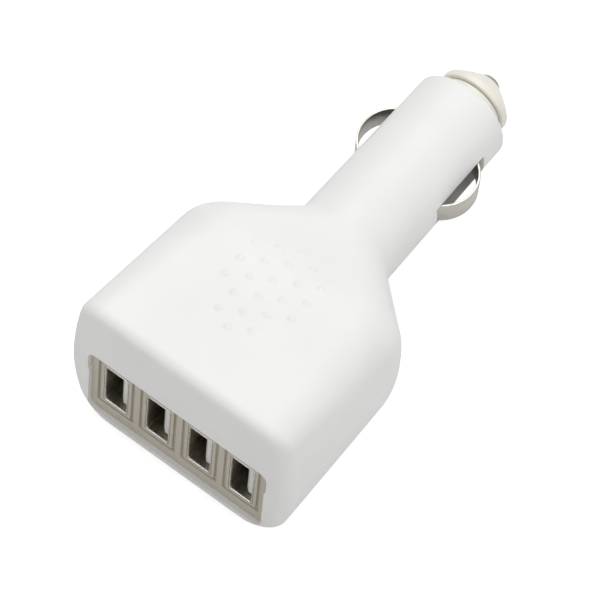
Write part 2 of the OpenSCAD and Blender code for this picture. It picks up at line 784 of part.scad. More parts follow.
spring_sides = 6;
spring_steps = 14;
module contact_spring() color(steel) in_frame() {
    n = spring_turns * spring_steps;
    run = fuse_y - spring_y - 2 * spring_wire - 2 * slide_gap;
    skin([for (i = [0:n])
        let (a = 360 * i / spring_steps, y = spring_y + spring_wire + slide_gap + run * i / n)
        [for (k = [0:spring_sides - 1]) let (b = 360 * k / spring_sides, q = spring_r + spring_wire * cos(b))
            [q * cos(a), y + spring_wire * sin(b), q * sin(a)]]]);
}

module fuse_cap(y0, y1, open_at_start) {
    difference() {
        rod(fuse_r, y0, y1, 48);
        rod(fuse_r - 0.2, open_at_start ? y0 - bite : y0 + 0.3, open_at_start ? y1 - 0.3 : y1 + bite, 48);
    }
}

module fuse_cap_rear() color(steel) in_frame() fuse_cap(fuse_y, fuse_y + fuse_cap_l, false);
module fuse_cap_front() color(steel) in_frame() fuse_cap(fuse_end - fuse_cap_l, fuse_end, true);

module fuse_glass() color([0.80, 0.88, 0.88]) in_frame() difference() {
    rod(fuse_r - 0.25, fuse_y + 0.3, fuse_end - 0.3, 48);
    rod(fuse_r - 0.9, fuse_y + 0.3 - bite, fuse_end - 0.3 + bite, 48);
}

dome_l = 1.6;
module tip_contact() color(steel) in_frame()
    turned(concat([[0, fuse_end], [collar_r, fuse_end], [collar_r, collar_front], [tip_r, collar_front]],
        [for (a = [0:18:90]) [tip_r * cos(a), overall_l - dome_l * (1 - sin(a))]]));

module nose_cap() color(cream) in_frame() {
    r = nose_flange_r;
    spigot_r = thread_r - slack;
    inside_r = collar_r + 0.2;
    hole_r = tip_r + slide_gap;
    cone_end_r = tip_r + 1.2;
    under = 0.25;        // rounding of the rim towards the groove
    over = 0.7;          // rounding of the rim towards the cone
    turned(concat([[inside_r, thread_y], [spigot_r - 0.4, thread_y], [spigot_r, thread_y + 0.5],
            [spigot_r, nose_start], [nose_groove_r, nose_start], [nose_groove_r, flange_y]],
        [for (a = [0:30:90]) [r - under * (1 - sin(a)), flange_y + under * (1 - cos(a))]],
        [for (a = [0:15:60]) [r - over * (1 - cos(a)), cone_y - over * (1 - sin(a))]],
        [[0.75 * r, cone_y + 0.45 * nose_cone_l], [cone_end_r, nose_end - 0.15],
            [cone_end_r - 0.3, nose_end], [hole_r, nose_end], [hole_r, collar_front],
            [inside_r, collar_front]]));
}

// Side clips: a leg inside the barrel, a bend out through the slot, and the bow

// A piece of a ring, between two angles less than half a turn apart
module ring_piece(x, y, r_mid, a0, a1) {
    reach = 2 * (r_mid + clip_t);
    translate([x, y]) intersection() {
        difference() {
            circle(r = r_mid + clip_t / 2, $fn = curve_fn);
            circle(r = r_mid - clip_t / 2, $fn = curve_fn);
        }
        polygon(concat([[0, 0]],
            [for (k = [0:4]) let (a = mix(a0, a1, k / 4)) reach * [cos(a), sin(a)]]));
    }
}

module clip() {
    translate([0, 0, -clip_w / 2]) linear_extrude(clip_w) {
        translate([clip_leg_x - clip_t / 2, leg_start]) square([clip_t, leg_end - leg_start + 0.02]);
        ring_piece(clip_leg_x + clip_bend_r, leg_end, clip_bend_r, 180 - bend_turn - 0.2, 180);
        ring_piece(bow_x, clip_crest_y, bow_mid_r, -bend_turn, clip_end_turn);
    }
}

module clip_right() color(steel) in_frame() clip();
module clip_left() color(steel) in_frame() mirror([1, 0, 0]) clip();

housing_top();
housing_bottom();
port_fascia();
usb_shell(1);  // usb_shell_1
usb_shell(2);  // usb_shell_2
usb_shell(3);  // usb_shell_3
usb_shell(4);  // usb_shell_4
usb_tongue(1);  // usb_tongue_1
usb_tongue(2);  // usb_tongue_2
usb_tongue(3);  // usb_tongue_3
usb_tongue(4);  // usb_tongue_4
usb_contacts(1);  // usb_contacts_1
usb_contacts(2);  // usb_contacts_2
usb_contacts(3);  // usb_contacts_3
usb_contacts(4);  // usb_contacts_4
circuit_board();
converter_chip();
rectifier_diode();
chip_resistors();
inductor_core();
inductor_winding();
input_capacitor();
output_capacitor();
positive_lead();
negative_lead();
ground_bridge();
positive_terminal();
contact_spring();
fuse_cap_rear();
fuse_glass();
fuse_cap_front();
tip_contact();
nose_cap();
clip_left();
clip_right();
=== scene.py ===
import math

import bmesh
import bpy
from mathutils import Matrix, Vector


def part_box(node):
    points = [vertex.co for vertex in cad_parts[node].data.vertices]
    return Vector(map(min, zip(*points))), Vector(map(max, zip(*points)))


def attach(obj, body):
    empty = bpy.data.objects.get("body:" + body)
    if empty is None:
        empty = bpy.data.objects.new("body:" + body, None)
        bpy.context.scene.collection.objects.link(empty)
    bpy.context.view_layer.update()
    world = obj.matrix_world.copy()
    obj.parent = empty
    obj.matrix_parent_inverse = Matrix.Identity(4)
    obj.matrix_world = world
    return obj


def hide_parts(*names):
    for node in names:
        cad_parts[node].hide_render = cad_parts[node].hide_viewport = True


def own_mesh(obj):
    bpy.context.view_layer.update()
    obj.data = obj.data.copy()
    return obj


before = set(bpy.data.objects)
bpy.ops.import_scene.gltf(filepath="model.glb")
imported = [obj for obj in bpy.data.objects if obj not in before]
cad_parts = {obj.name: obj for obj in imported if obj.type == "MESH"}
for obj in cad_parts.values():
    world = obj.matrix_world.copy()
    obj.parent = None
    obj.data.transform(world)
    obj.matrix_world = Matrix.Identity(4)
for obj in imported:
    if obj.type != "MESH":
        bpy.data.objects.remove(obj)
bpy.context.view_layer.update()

MM = 0.001

# Sizes of the plug, in millimetres, as in the part's source. Those marked "here only" follow the
# photograph more closely than the source does. Y is counted from the front of the head, Z from
# the barrel's axis.

# Head: plan, height and lean of its sides
CHEEK, CHIN = 5.5, 3.3                  # housing beside and under the panel's window
HEAD_DRAFT, HEAD_L = 1.4, 33.5
HEAD_UP, HEAD_FALL = 22.0, 4.2          # height over the axis at the front, and its fall
CURVE_LEAD = 1.0                        # top curves down this far before HEAD_L, underside after
LEAN_UP, LEAN_DOWN = 2.5, 3.9
SHOULDER_R, SHOULDER_TURN = 10.4, math.radians(46)
NECK_R, NECK_SINK = 3.0, 0.15
TOP_EDGE_FRONT, TOP_EDGE_BACK, BOTTOM_EDGE = 5.0, 9.2, 6.2
ROUND_SIDE, ROUND_TOP, ROUND_L = 3.4, 2.8, 3.0
ROUND_BOTTOM = 2.3                      # here only
WALL, SLACK, RUN_GAP, SLIDE_GAP = 2.0, 0.1, 0.3, 0.08

# Grip dots: rows as (place across, first dot, last dot)
DOT_PITCH_X, DOT_PITCH_Y, DOT_START_Y, DOT_D = 4.0, 4.8, 14.6, 2.0
DOT_RISE, DOT_FOOT, DOT_DOME = 0.38, 1.12, 1.2      # here only: height, wider foot, fuller dome
DOT_ROWS = ((-2, 2, 4), (-1, 0, 4), (0, 0, 5), (1, 0, 4), (2, 2, 4))
LAST_DOT = 5

# Barrel, nose cap and tip
BARREL_R, ROOT_SWELL, BARREL_L, LAND_L, BARREL_WALL = 10.45, 0.5, 37.6, 3.4, 1.95
END_ROUND_L, END_ROUND_DEPTH = 1.0, 1.0
THREAD_SHARE, THREAD_L = 0.64, 3.0
FLANGE_SHARE, FLANGE_T, CONE_L = 0.756, 1.9, 3.45
GROOVE_STEP, GROOVE_W = 0.3, 2.65
UNDERCUT_W, UNDERCUT_D = 0.22, 0.9      # here only: the dark line under the flange
TIP_R, TIP_OUT, COLLAR_STEP, COLLAR_T = 2.6, 2.0, 1.1, 1.2
COLLAR_SET, TIP_TRAVEL = 2.0, 2.0       # collar behind the nose's front, and its way inwards
COLLAR_GAP, NOSE_LIP = 0.2, 1.2         # round the collar inside, round the tip at the front

# Side clips
CLIP_W, CLIP_T, CLIP_OUT = 5.5, 0.5, 3.05
CLIP_BOW_R, CLIP_BEND_R, CLIP_END_TURN = 8.05, 1.5, math.radians(65)
CREST_BACK, LEG_GAP, LEG_BACK, LEG_START_BACK = 14.3, 1.05, 20.3, 0.9
SLOT_IN, SLOT_OUT, SLOT_SIDE = 0.8, 1.0, 0.2    # slot past the leg's end, past the bow, beside it

# Panel and its window
PORT_GAP, PORT_BELOW = 1.4, 3.55
PANEL_SIDE, PANEL_ABOVE, PANEL_UNDER = 1.55, 1.65, 3.05
PANEL_SET, PANEL_T, PANEL_LAP = 1.0, 2.0, 0.9
WINDOW_STEP, WINDOW_R = 0.7, 2.0
FRAME_W, SUNK_W, SUNK_D, FRAME_BACK = 0.75, 0.7, 0.6, 0.2

# USB sockets
USB_W, USB_H, USB_L, USB_SHEET = 5.12, 12.5, 14.0, 0.3
SHELL_R, SHELL_INNER_R = 0.5, 0.25
LIP_FLARE = 0.5                         # here only
FINGER_START, FINGER_END, FINGER_HALF, SLIT = 2.5, 8.5, 0.6, 0.4
TAB_BACK, TAB_L, TAB_DROP = 4.0, 1.2, 0.8
TONGUE_T, TONGUE_SIDE = 1.84, 0.72
TONGUE_END, TONGUE_SET, TONGUE_LEAD = 0.35, 1.4, 0.9    # here only
BLOCK_L = 3.5

# Inside the head and the barrel
BOARD_GAP, EDGE_SHARE, TAIL_PITCH, TAIL_L = 0.4, 0.165, 1.5, 0.6
POST_R, POST_BACK, PIN_R, PIN_OUT = 1.5, 1.0, 0.7, 0.8
RIB_T, RIB_FRONT, RIB_BACK, RIB_SHORT = 1.2, 1.4, 3.0, 1.0
FUSE_R, FUSE_L = 2.6, 20.0
SPRING_R, SPRING_WIRE, SPRING_TURNS = 2.15, 0.3, 8
CHAMBER_WALL, CHAMBER_FLOOR, CHAMBER_SLACK, WEB_T = 0.8, 1.0, 0.05, 1.2
CHAMBER_SET, SPRING_SET = 1.9, 1.8      # chamber past the clips' seats, spring past its start
MOUTH_STEP = 0.3                        # from the bore in to the hollow's mouth

# Making: how far a cutter runs past a face, and how far joined solids run into each other
BITE, SINK = 1.0, 0.1
MOULD_EDGE, PANEL_EDGE, PIN_EDGE = 0.15, 0.12, 0.2      # widths of the bevels

# Worked out from the sizes above
USB_OUT_W, USB_OUT_H = USB_W + 2 * USB_SHEET, USB_H + 2 * USB_SHEET
BAND = SLACK + FRAME_W + SUNK_W
PORT_PITCH = USB_OUT_W + 2 * BAND + PORT_GAP
PORT_LOW, PORT_HIGH = -PORT_BELOW - USB_OUT_H / 2, -PORT_BELOW + USB_OUT_H / 2
WINDOW_W = 3 * PORT_PITCH + USB_OUT_W + 2 * (BAND + PANEL_SIDE)
WINDOW_UP = USB_OUT_H / 2 - PORT_BELOW + BAND + PANEL_ABOVE
WINDOW_DOWN = USB_OUT_H / 2 + PORT_BELOW + BAND + PANEL_UNDER
HEAD_W, HEAD_DOWN = WINDOW_W + 2 * CHEEK, WINDOW_DOWN + CHIN
PANEL_BACK = PANEL_SET + PANEL_T
PANEL_W = WINDOW_W + WINDOW_STEP + 2 * PANEL_LAP
USB_Y, USB_END = PANEL_SET, PANEL_SET + USB_L

ROOT_R = BARREL_R + ROOT_SWELL
BORE_R = BARREL_R - BARREL_WALL
THREAD_R = THREAD_SHARE * BARREL_R
FLANGE_R, GROOVE_R = FLANGE_SHARE * BARREL_R, THREAD_R + GROOVE_STEP
COLLAR_R = TIP_R + COLLAR_STEP

SIDE_W = (HEAD_W - HEAD_DRAFT) / 2
ARC_X = SIDE_W - SHOULDER_R
SLOPE_X = ARC_X + SHOULDER_R * math.cos(SHOULDER_TURN)
SLOPE_Y = HEAD_L + SHOULDER_R * math.sin(SHOULDER_TURN)
HOLLOW_X = ROOT_R - NECK_SINK + NECK_R
NECK_Y = SLOPE_Y + ((NECK_R - (HOLLOW_X - SLOPE_X) * math.cos(SHOULDER_TURN))
                    / math.sin(SHOULDER_TURN))
HOLLOW_Y = NECK_Y - NECK_R * math.sin(SHOULDER_TURN)
TOP_CURVE_Y, BOTTOM_CURVE_Y = HEAD_L - CURVE_LEAD, HEAD_L + CURVE_LEAD

BARREL_END = NECK_Y + BARREL_L
LAND_Y, THREAD_Y = BARREL_END - LAND_L, BARREL_END - THREAD_L
NOSE_START = BARREL_END + END_ROUND_L
FLANGE_Y = NOSE_START + GROOVE_W
CONE_Y = FLANGE_Y + FLANGE_T
NOSE_END = CONE_Y + CONE_L
OVERALL_L = NOSE_END + TIP_OUT
COLLAR_FRONT = NOSE_END - COLLAR_SET
FUSE_END = COLLAR_FRONT - COLLAR_T

CREST_Y = BARREL_END - CREST_BACK
PIVOT_Y = CREST_Y - LEG_BACK
LEG_X = BORE_R - LEG_GAP
BOW_X, BOW_MID_R = BARREL_R + CLIP_OUT - CLIP_BOW_R, CLIP_BOW_R - CLIP_T / 2
BEND_TURN = math.acos((LEG_X + CLIP_BEND_R - BOW_X) / (BOW_MID_R + CLIP_BEND_R))
LEG_END = CREST_Y - (BOW_MID_R + CLIP_BEND_R) * math.sin(BEND_TURN)
LEG_START = PIVOT_Y - LEG_START_BACK
SLOT_START = LEG_END + SLOT_IN
SLOT_END = CREST_Y + BOW_MID_R * math.sin(CLIP_END_TURN) + SLOT_OUT
CHAMBER_R, CHAMBER_Y = FUSE_R + RUN_GAP + CHAMBER_SLACK, PIVOT_Y + CHAMBER_SET
SPRING_Y = CHAMBER_Y + SPRING_SET


def place(x, y, z):
    """A point of the plug in the frame's metres."""
    return Vector((x, y - OVERALL_L / 2, z + HEAD_DOWN)) * MM


def unplace(point):
    """A point in the frame's metres as the plug's x, y and z."""
    return point.x / MM, point.y / MM + OVERALL_L / 2, point.z / MM - HEAD_DOWN


# Materials

def material(name, color, roughness, metallic=0.0, **sockets):
    """A material with its shader, and a function that adds nodes."""
    mat = bpy.data.materials.new(name)
    mat.use_nodes = True
    nodes, links = mat.node_tree.nodes, mat.node_tree.links
    shader = nodes["Principled BSDF"]
    shader.inputs["Base Color"].default_value = (*color, 1)
    shader.inputs["Roughness"].default_value = roughness
    shader.inputs["Metallic"].default_value = metallic
    for socket, value in sockets.items():
        shader.inputs[socket.replace("_", " ")].default_value = value

    def add(kind, **values):
        node = nodes.new(kind)
        for key, value in values.items():
            node.inputs[key].default_value = value
        return node

    return mat, shader, add, links


def noise(add, links, scale, detail=4.0, stretch=(1, 1, 1)):
    """A noise over the object's own metres, stretched along the axes."""
    coords = add("ShaderNodeTexCoord")
    mapping = add("ShaderNodeMapping", Scale=stretch)
    tex = add("ShaderNodeTexNoise", Scale=scale, Detail=detail)
    links.new(coords.outputs["Object"], mapping.inputs["Vector"])
    links.new(mapping.outputs["Vector"], tex.inputs["Vector"])
    return tex.outputs["Fac"]


NOISE_LOW, NOISE_HIGH = 0.3, 0.7


def spread(add, links, value, low, high):
    """A value between low and high, from a noise."""
    ramp = add("ShaderNodeMapRange", **{"From Min": NOISE_LOW, "From Max": NOISE_HIGH,
                                        "To Min": low, "To Max": high})
    links.new(value, ramp.inputs["Value"])
    return ramp.outputs["Result"]


def tint(add, links, value, color, shift):
    """A colour that a noise makes darker and lighter by a share."""
    ramp = add("ShaderNodeValToRGB")
    shades = ((NOISE_LOW, [c * (1 - shift) for c in color]),
              (NOISE_HIGH, [min(1, c * (1 + shift)) for c in color]))
    for element, (position, shade) in zip(ramp.color_ramp.elements, shades):
        element.position = position
        element.color = (*shade, 1)
    links.new(value, ramp.inputs["Fac"])
    return ramp.outputs["Color"]


def bump(add, links, value, height, shader):
    """Fine relief on a shader, from a noise, with its height in metres."""
    node = add("ShaderNodeBump", Strength=1.0, Distance=height)
    links.new(value, node.inputs["Height"])
    links.new(node.outputs["Normal"], shader.inputs["Normal"])


MOTTLE_SCALE, GLOSS_SCALE, STAIN_SCALE = 60, 300, 250


def moulded(name, color, roughness, grain=0.000004, grain_scale=5000, shift=0.02, **sockets):
    """Moulded plastic: a faint mottle, a fine grain and a slightly uneven gloss."""
    mat, shader, add, links = material(name, color, roughness, **sockets)
    mottle = noise(add, links, MOTTLE_SCALE, 3)
    links.new(tint(add, links, mottle, color, shift), shader.inputs["Base Color"])
    gloss = noise(add, links, GLOSS_SCALE, 5)
    links.new(spread(add, links, gloss, roughness * 0.88, roughness * 1.12),
              shader.inputs["Roughness"])
    bump(add, links, noise(add, links, grain_scale, 2), grain, shader)
    return mat


def rolled(name, color, roughness, stretch, scale=2200, shift=0.08, depth=0.000002, **sockets):
    """Sheet or turned metal: fine lines along one direction, and faint stains."""
    mat, shader, add, links = material(name, color, roughness, 1.0, **sockets)
    lines = noise(add, links, scale, 6, stretch)
    stains = noise(add, links, STAIN_SCALE, 4)
    links.new(tint(add, links, stains, color, shift), shader.inputs["Base Color"])
    links.new(spread(add, links, lines, roughness * 0.75, roughness * 1.25),
              shader.inputs["Roughness"])
    bump(add, links, lines, depth, shader)
    return mat


WHITE = moulded("white_plastic", (0.865, 0.862, 0.855), 0.48, Specular_IOR_Level=0.3)
PANEL = moulded("panel_plastic", (0.545, 0.505, 0.42), 0.5, grain=0.00001, shift=0.04)
CREAM = moulded("cream_plastic", (0.86, 0.835, 0.75), 0.36)
TONGUE = moulded("socket_plastic", (0.84, 0.83, 0.79), 0.4)
# painted shade: the block at the back of each socket is near black for the shade deep in the socket
BLOCK_SHADE = moulded("socket_block_painted_shade", (0.035, 0.028, 0.02), 0.5, shift=0.15)
SOCKET_STEEL = rolled("socket_steel", (0.80, 0.78, 0.73), 0.26, (1, 0.05, 1),
                      shift=0.04, depth=0.0000004)
# painted shade: the shell's inner walls get this darker metal for the shade inside each socket
SOCKET_SHADE = rolled("socket_inside_painted_shade", (0.36, 0.33, 0.27), 0.38, (1, 0.05, 1), shift=0.3)
CLIP_STEEL = rolled("clip_steel", (0.60, 0.575, 0.53), 0.4, (1, 0.08, 1))
TIP_STEEL = rolled("tip_steel", (0.55, 0.54, 0.51), 0.3, (0.1, 1, 0.1))
GOLD = rolled("gold_plate", (0.80, 0.60, 0.26), 0.25, (1, 0.1, 1))
BRASS = rolled("sheet_brass", (0.74, 0.56, 0.27), 0.35, (0.2, 1, 1))
COPPER = rolled("enamelled_copper", (0.62, 0.26, 0.11), 0.3, (1, 1, 0.1))
SPRING = rolled("spring_wire", (0.55, 0.54, 0.52), 0.3, (1, 1, 1))
FUSE_METAL = rolled("fuse_cap_metal", (0.72, 0.71, 0.68), 0.2, (1, 0.1, 1))
BOARD = moulded("solder_mask", (0.03, 0.20, 0.08), 0.35, shift=0.12)
CHIP = moulded("component_body", (0.025, 0.025, 0.026), 0.55, grain=0.00002, shift=0.15)
FERRITE = moulded("ferrite", (0.06, 0.06, 0.065), 0.6, grain=0.00002, shift=0.15)
SLEEVE = moulded("can_sleeve", (0.03, 0.035, 0.07), 0.3, shift=0.1)
RED_WIRE = moulded("red_insulation", (0.50, 0.02, 0.02), 0.4, shift=0.05)
BLACK_WIRE = moulded("black_insulation", (0.02, 0.02, 0.02), 0.4, shift=0.1)
GLASS = material("fuse_glass", (0.90, 0.95, 0.95), 0.05, Transmission_Weight=0.95, IOR=1.5)[0]

NODE_MATERIALS = {
    "housing_top": WHITE, "housing_bottom": WHITE, "port_fascia": PANEL,
    "circuit_board": BOARD, "converter_chip": CHIP, "rectifier_diode": CHIP,
    "chip_resistors": CHIP, "inductor_core": FERRITE, "inductor_winding": COPPER,
    "input_capacitor": SLEEVE, "output_capacitor": SLEEVE,
    "positive_lead": RED_WIRE, "negative_lead": BLACK_WIRE,
    "ground_bridge": BRASS, "positive_terminal": BRASS, "contact_spring": SPRING,
    "fuse_cap_rear": FUSE_METAL, "fuse_glass": GLASS, "fuse_cap_front": FUSE_METAL,
    "tip_contact": TIP_STEEL, "nose_cap": CREAM, "clip_left": CLIP_STEEL, "clip_right": CLIP_STEEL,
}
for port in range(1, 5):
    NODE_MATERIALS[f"usb_shell_{port}"] = SOCKET_STEEL
    NODE_MATERIALS[f"usb_tongue_{port}"] = TONGUE
    NODE_MATERIALS[f"usb_contacts_{port}"] = GOLD

for name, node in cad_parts.items():
    node.data.materials.clear()
    node.data.materials.append(NODE_MATERIALS[name])


# Form of the head

def mix(a, b, t):
    """A value between a and b, at a share t of the way."""
    return a + (b - a) * t


def clamp01(t):
    return min(1.0, max(0.0, t))


def ease(t):
    """A soft rise from 0 to 1."""
    c = clamp01(t)
    return c * c * (3 - 2 * c)


def half_w(y):
    """Half the width of the housing, at a distance y from its front."""
    if y < HEAD_L:
        return mix(HEAD_W / 2, SIDE_W, y / HEAD_L)
    if y < SLOPE_Y:
        return ARC_X + math.sqrt(SHOULDER_R ** 2 - (y - HEAD_L) ** 2)
    if y < HOLLOW_Y:
        return SLOPE_X - (y - SLOPE_Y) * math.tan(SHOULDER_TURN)
    if y < NECK_Y:
        blend = NECK_SINK * ease((y - HOLLOW_Y) / (NECK_Y - HOLLOW_Y))
        return HOLLOW_X - math.sqrt(NECK_R ** 2 - (NECK_Y - y) ** 2) + blend
    return barrel_radius(y)


def barrel_radius(y):
    """The barrel tapers from its root to the straight land at its end."""
    return mix(ROOT_R, BARREL_R, clamp01((y - NECK_Y) / (LAND_Y - NECK_Y)))


def face_h(y, up):
    """Height of the top face, or depth of the underside, from the barrel's axis."""
    start = TOP_CURVE_Y if up else BOTTOM_CURVE_Y
    head = HEAD_UP - HEAD_FALL * y / HEAD_L if up else HEAD_DOWN
    return mix(head, barrel_radius(y), ease((y - start) / (NECK_Y - start)))


def edge_r(y, up):
    """Radius of the long edges."""
    head = mix(TOP_EDGE_FRONT, TOP_EDGE_BACK, clamp01(y / HEAD_L)) if up else BOTTOM_EDGE
    return mix(head, barrel_radius(y), ease((y - HEAD_L) / (NECK_Y - HEAD_L)))


def side_lean(y, up):
    """How far a side leans in at the top or the bottom."""
    return (LEAN_UP if up else LEAN_DOWN) * (1 - ease((y - HEAD_L) / (NECK_Y - HEAD_L)))


# Points of a section along a side, round an edge and over the face
OUTER_STEPS, INNER_STEPS = (8, 14, 128), (4, 6, 4)
# The fine chamfer at the parting line, in X and in Z
PARTING_IN, PARTING_H = 0.05, 0.06
FRONT_STEPS, END_STEPS = 9, 10
# Distances between the sections, and the places of two of the hollow's
DOT_STEP, UNDER_STEP, HEAD_STEP, SLOPE_STEP, LONG_STEP = 0.28, 0.56, 1.5, 0.6, 2.0
HOLLOW_STATIONS = (12, 22)
DOT_MARGIN = 2                          # how far the fine sections run past the dots
WELD = 1e-7                             # corners nearer than this, in metres, are one


def half_section(w, h, r, lean, steps=OUTER_STEPS):
    """Half a section from +X over the face to -X, as (x, z), with the parting line's chamfer."""
    sides, corners, flats = steps
    q = min(r, w, h)
    points = [(w - PARTING_IN, 0)]
    points += [(w, mix(PARTING_H, max(PARTING_H, h - q), t / sides)) for t in range(sides)]
    for t in range(corners + 1):
        a = math.pi / 2 * t / corners
        points.append((w - q + q * math.cos(a), max(PARTING_H, h - q + q * math.sin(a))))
    points = [(x * (1 - lean / w * (z / h) ** 2), z) for x, z in points]
    edge = points[-1][0]
    flat = [(edge * (1 - 2 * t / flats), h) for t in range(1, flats)]
    return points + flat + [(-x, z) for x, z in reversed(points)]


def dot_rise(x, y):
    """Height of the grip dots' domes over the top face."""
    for row, first, last in DOT_ROWS:
        if abs(x - DOT_PITCH_X * row) > DOT_D:
            continue
        shift = 0.5 if row % 2 else 0.0
        j = round((y - DOT_START_Y) / DOT_PITCH_Y - shift)
        if first <= j <= last:
            cy = DOT_START_Y + DOT_PITCH_Y * (j + shift)
            u = math.hypot(x - DOT_PITCH_X * row, y - cy) / (DOT_D / 2 * DOT_FOOT)
            if u < 1:
                return DOT_RISE * 0.5 * (1 + math.cos(math.pi * u ** DOT_DOME))
    return 0.0


def steps_between(a, b, step):
    """Even stations from a to before b, no further apart than a step."""
    n = max(1, math.ceil((b - a) / step))
    return [mix(a, b, i / n) for i in range(n)]


def head_rings(up):
    """Sections of one half's outside, from the front face to the barrel's mouth."""
    rings = []
    for i in range(FRONT_STEPS):
        a = math.pi / 2 * i / FRONT_STEPS
        y, inset = ROUND_L * (1 - math.cos(a)), 1 - math.sin(a)
        dh = (ROUND_TOP if up else ROUND_BOTTOM) * inset
        rings.append((y, half_section(half_w(y) - ROUND_SIDE * inset, face_h(y, up) - dh,
                                      edge_r(y, up) - dh, side_lean(y, up))))
    dots_start = DOT_START_Y - DOT_MARGIN
    dots_end = DOT_START_Y + LAST_DOT * DOT_PITCH_Y + DOT_MARGIN
    stations = (steps_between(ROUND_L, dots_start, HEAD_STEP)
                + steps_between(dots_start, dots_end, DOT_STEP if up else UNDER_STEP)
                + steps_between(dots_end, NECK_Y, SLOPE_STEP)
                + steps_between(NECK_Y, LAND_Y, LONG_STEP) + [LAND_Y])
    for y in stations:
        rings.append((y, half_section(half_w(y), face_h(y, up), edge_r(y, up), side_lean(y, up))))
    for k in range(END_STEPS + 1):
        a = math.pi / 2 * k / END_STEPS
        r = BARREL_R - END_ROUND_DEPTH * (1 - math.cos(a))
        rings.append((BARREL_END + END_ROUND_L * math.sin(a), half_section(r, r, r, 0)))
    return rings


# Pieces

def close_rows(bm, rows, ends=True):
    """Faces between rows of vertices, each a closed round, with a face over each end."""
    n = len(rows[0])
    for a, b in zip(rows, rows[1:]):
        for k in range(n):
            bm.faces.new((a[k], a[(k + 1) % n], b[(k + 1) % n], b[k]))
    if ends:
        bm.faces.new(rows[0])
        bm.faces.new(rows[-1])


def piece_from(bm, name):
    """The mesh as an object in the scene."""
    mesh = bpy.data.meshes.new(name)
    bm.to_mesh(mesh)
    bm.free()
    obj = bpy.data.objects.new(name, mesh)
    bpy.context.scene.collection.objects.link(obj)
    return obj


def solid_between(name, outlines):
    """A solid between two outlines with as many points."""
    bm = bmesh.new()
    rows = [[bm.verts.new(point) for point in outline] for outline in outlines]
    for row in rows:
        bm.faces.new(row)
    close_rows(bm, rows, ends=False)
    bmesh.ops.recalc_face_normals(bm, faces=bm.faces)
    return piece_from(bm, name)


def prism(name, outline, y0, y1):
    """A solid over an (x, z) outline, from y0 to y1."""
    return solid_between(name, [[place(x, y, z) for x, z in outline] for y in (y0, y1)])


def rounded_rect(w, z0, z1, r, cx=0.0, steps=8):
    """The outline of a rectangle with round corners, as (x, z)."""
    points = []
    for sx, sz, start in ((1, 1, 0), (-1, 1, 90), (-1, -1, 180), (1, -1, 270)):
        for k in range(steps + 1):
            a = math.radians(start + 90 * k / steps)
            z = (z1 if sz > 0 else z0) - sz * r
            points.append((cx + sx * (w / 2 - r) + r * math.cos(a), z + r * math.sin(a)))
    return points


def upright(name, r, x, y, z0, z1, sides=32):
    """A round post that stands along Z."""
    turns = [2 * math.pi * k / sides for k in range(sides)]
    return solid_between(name, [[place(x + r * math.cos(a), y + r * math.sin(a), z)
                                 for a in turns] for z in (z0, z1)])


def box_piece(name, x0, x1, y0, y1, z0, z1):
    """A plain block between the given places."""
    return prism(name, [(x0, z0), (x1, z0), (x1, z1), (x0, z1)], y0, y1)


def rod(name, r, y0, y1, sides=96):
    """A round bar along the barrel's axis."""
    turns = [2 * math.pi * k / sides for k in range(sides)]
    return prism(name, [(r * math.cos(a), r * math.sin(a)) for a in turns], y0, y1)


def combine(base, tool, operation):
    """A boolean of two pieces, applied; the tool piece is used up."""
    modifier = base.modifiers.new("cut", "BOOLEAN")
    modifier.operation = operation
    modifier.solver = "EXACT"
    modifier.object = tool
    apply_modifiers(base)
    bpy.data.objects.remove(tool)
    return base


def apply_modifiers(obj):
    """Give the object the mesh that its modifiers make."""
    depsgraph = bpy.context.evaluated_depsgraph_get()
    mesh = bpy.data.meshes.new_from_object(obj.evaluated_get(depsgraph))
    old = obj.data
    obj.modifiers.clear()
    obj.data = mesh
    bpy.data.meshes.remove(old)


def join(base, *others):
    """The pieces as one mesh, with each as its own island."""
    bm = bmesh.new()
    for obj in (base, *others):
        bm.from_mesh(obj.data)
    bm.to_mesh(base.data)
    bm.free()
    for obj in others:
        bpy.data.objects.remove(obj)
    return base


def bevel(obj, width, segments=2, angle=30):
    """Round the sharp edges, by a width in millimetres."""
    modifier = obj.modifiers.new("bevel", "BEVEL")
    modifier.width = width * MM
    modifier.segments = segments
    modifier.limit_method = "ANGLE"
    modifier.angle_limit = math.radians(angle)
    modifier.harden_normals = False
    apply_modifiers(obj)
    return obj


def finish_piece(obj, mat, body, slot, *nodes, smooth=35):
    """Dress a piece, and let it stand for its nodes on its body."""
    obj.data.materials.clear()
    obj.data.materials.append(mat)
    obj.data.shade_smooth()
    obj.data.set_sharp_from_angle(angle=math.radians(smooth))
    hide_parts(*nodes)
    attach(obj, body)
    return obj


def lathe(name, profile, sides=128):
    """A turned solid along the plug, from (radius, y) points; a ring where no radius is zero."""
    bm = bmesh.new()
    turns = [2 * math.pi * k / sides for k in range(sides)]
    rows = []
    for r, y in profile:
        around = turns[:1] if r == 0 else turns
        rows.append([bm.verts.new(place(r * math.cos(a), y, r * math.sin(a))) for a in around])
    pairs = list(zip(rows, rows[1:]))
    if len(rows[0]) > 1 and len(rows[-1]) > 1:
        pairs.append((rows[-1], rows[0]))
    for a, b in pairs:
        for k in range(sides):
            m = (k + 1) % sides
            if len(a) == 1:
                bm.faces.new((a[0], b[m], b[k]))
            elif len(b) == 1:
                bm.faces.new((a[k], a[m], b[0]))
            else:
                bm.faces.new((a[k], a[m], b[m], b[k]))
    bmesh.ops.recalc_face_normals(bm, faces=bm.faces)
    return piece_from(bm, name)


# Housing

